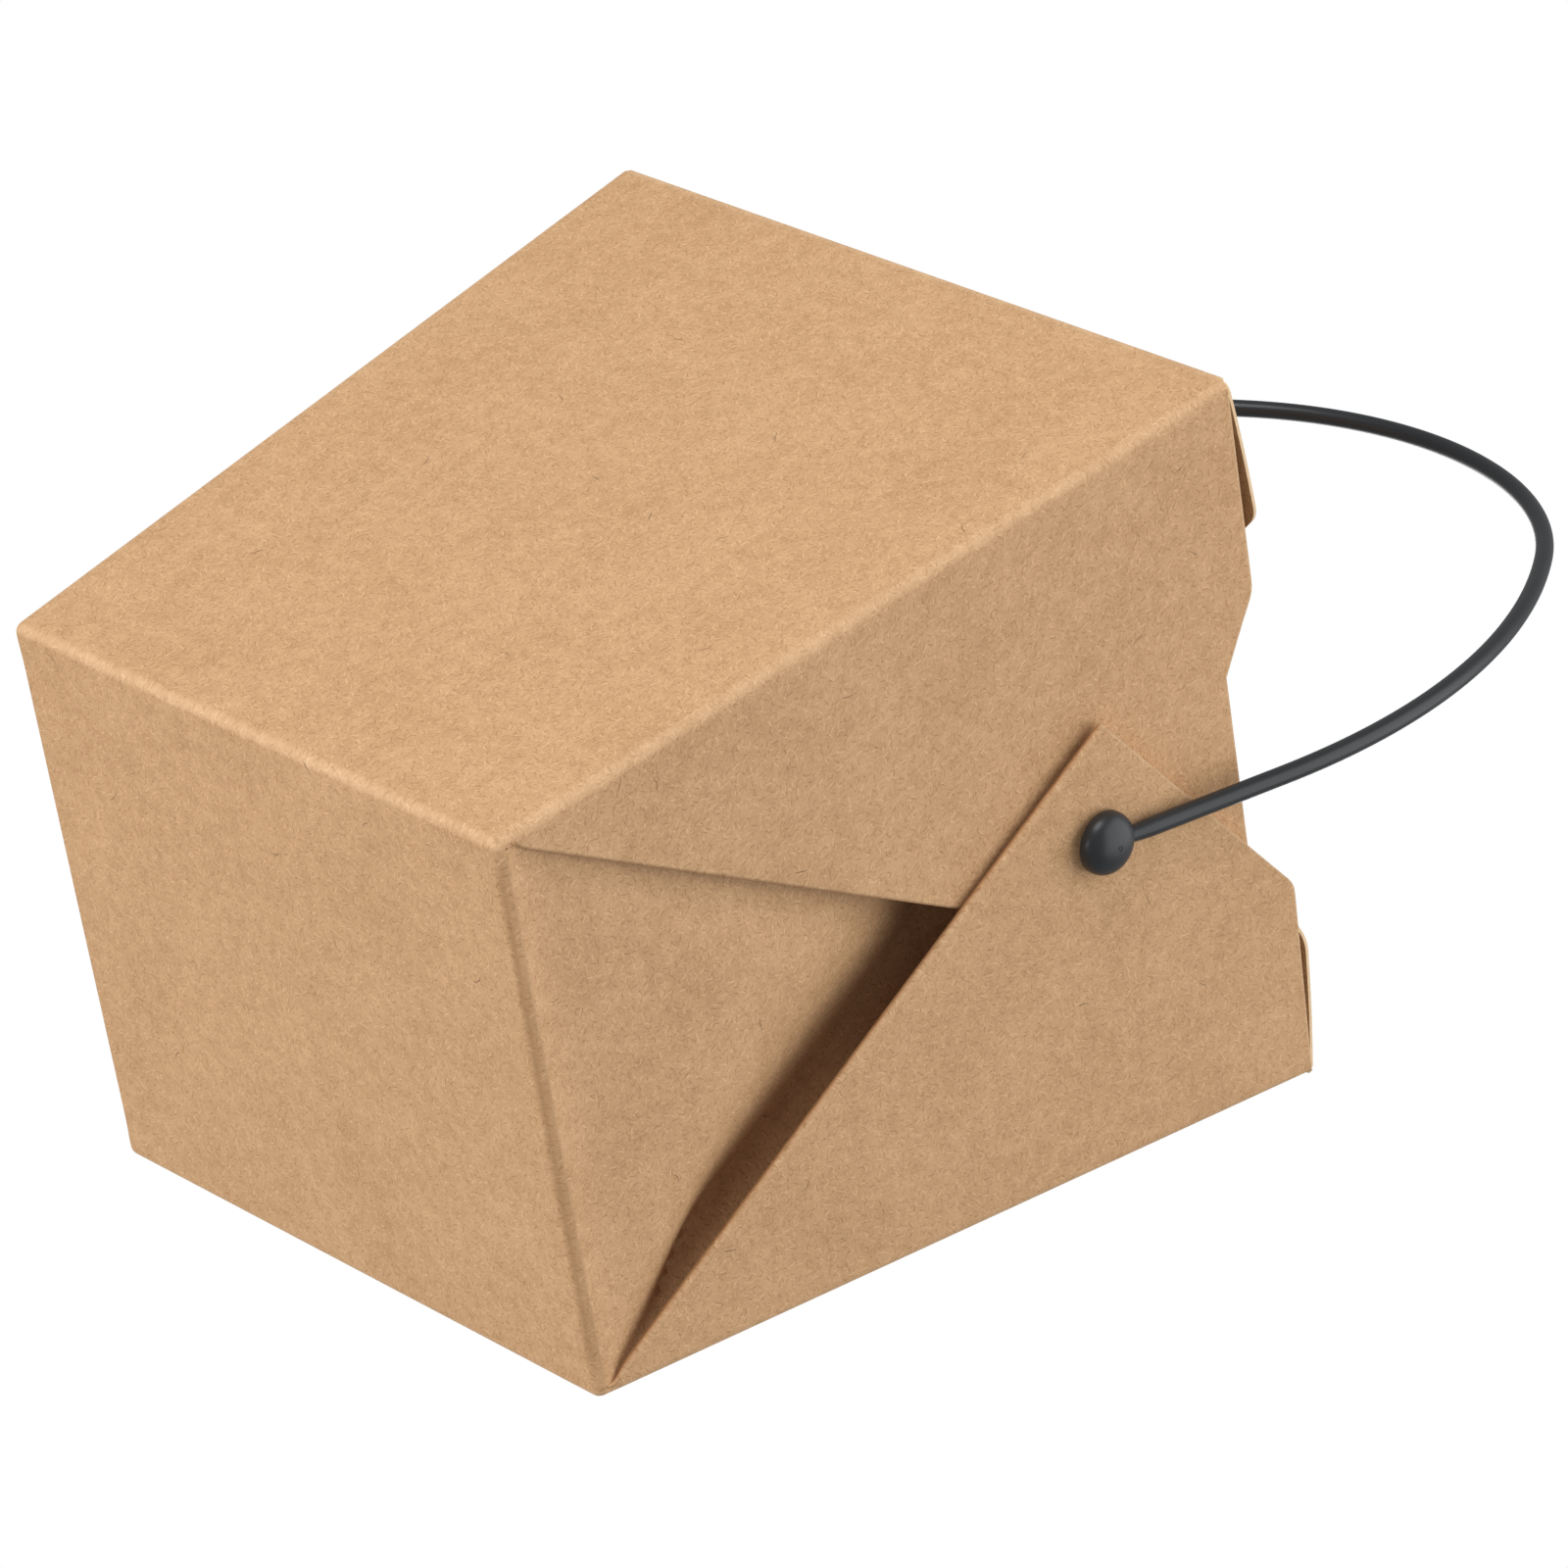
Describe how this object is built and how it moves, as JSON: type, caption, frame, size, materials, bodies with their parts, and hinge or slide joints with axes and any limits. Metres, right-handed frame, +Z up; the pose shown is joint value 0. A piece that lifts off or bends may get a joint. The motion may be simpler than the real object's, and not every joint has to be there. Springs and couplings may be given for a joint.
{
  "type": "takeout food pail",
  "caption": "Folded kraft board food pail with flat-folded gussets, a tuck-in lid and a swinging plastic carrying handle.",
  "frame": {"origin": "centre of the bottom's outer face, on the surface that the pail stands on", "axes": "+Z up to the lid, X from one gusseted end to the other, Y from one wide wall to the other; the outer lid flap is hinged on the -Y wall and the outermost gussets grow from the +Y wall"},
  "size_m": [0.1182, 0.0988, 0.1975],
  "materials": {
    "kraft_board": "uncoated kraft board, matt, with fine fibres",
    "black_plastic": "moulded, semi-gloss black"
  },
  "bodies": {
    "carton": {"carton": "kraft_board"},
    "lid": {"lid_flap": "kraft_board"},
    "handle": {"handle": "black_plastic"}
  },
  "joints": [
    {"name": "handle_swing", "type": "hinge", "parent": "carton", "child": "handle", "pos_m": [0, 0, 0.0817], "axis": [1, 0, 0], "range_deg": [-125, 140]},
    {"name": "lid_hinge", "type": "hinge", "parent": "carton", "child": "lid", "pos_m": [0, -0.04918, 0.11132], "axis": [1, 0, 0], "range_deg": [0, 120]}
  ]
}
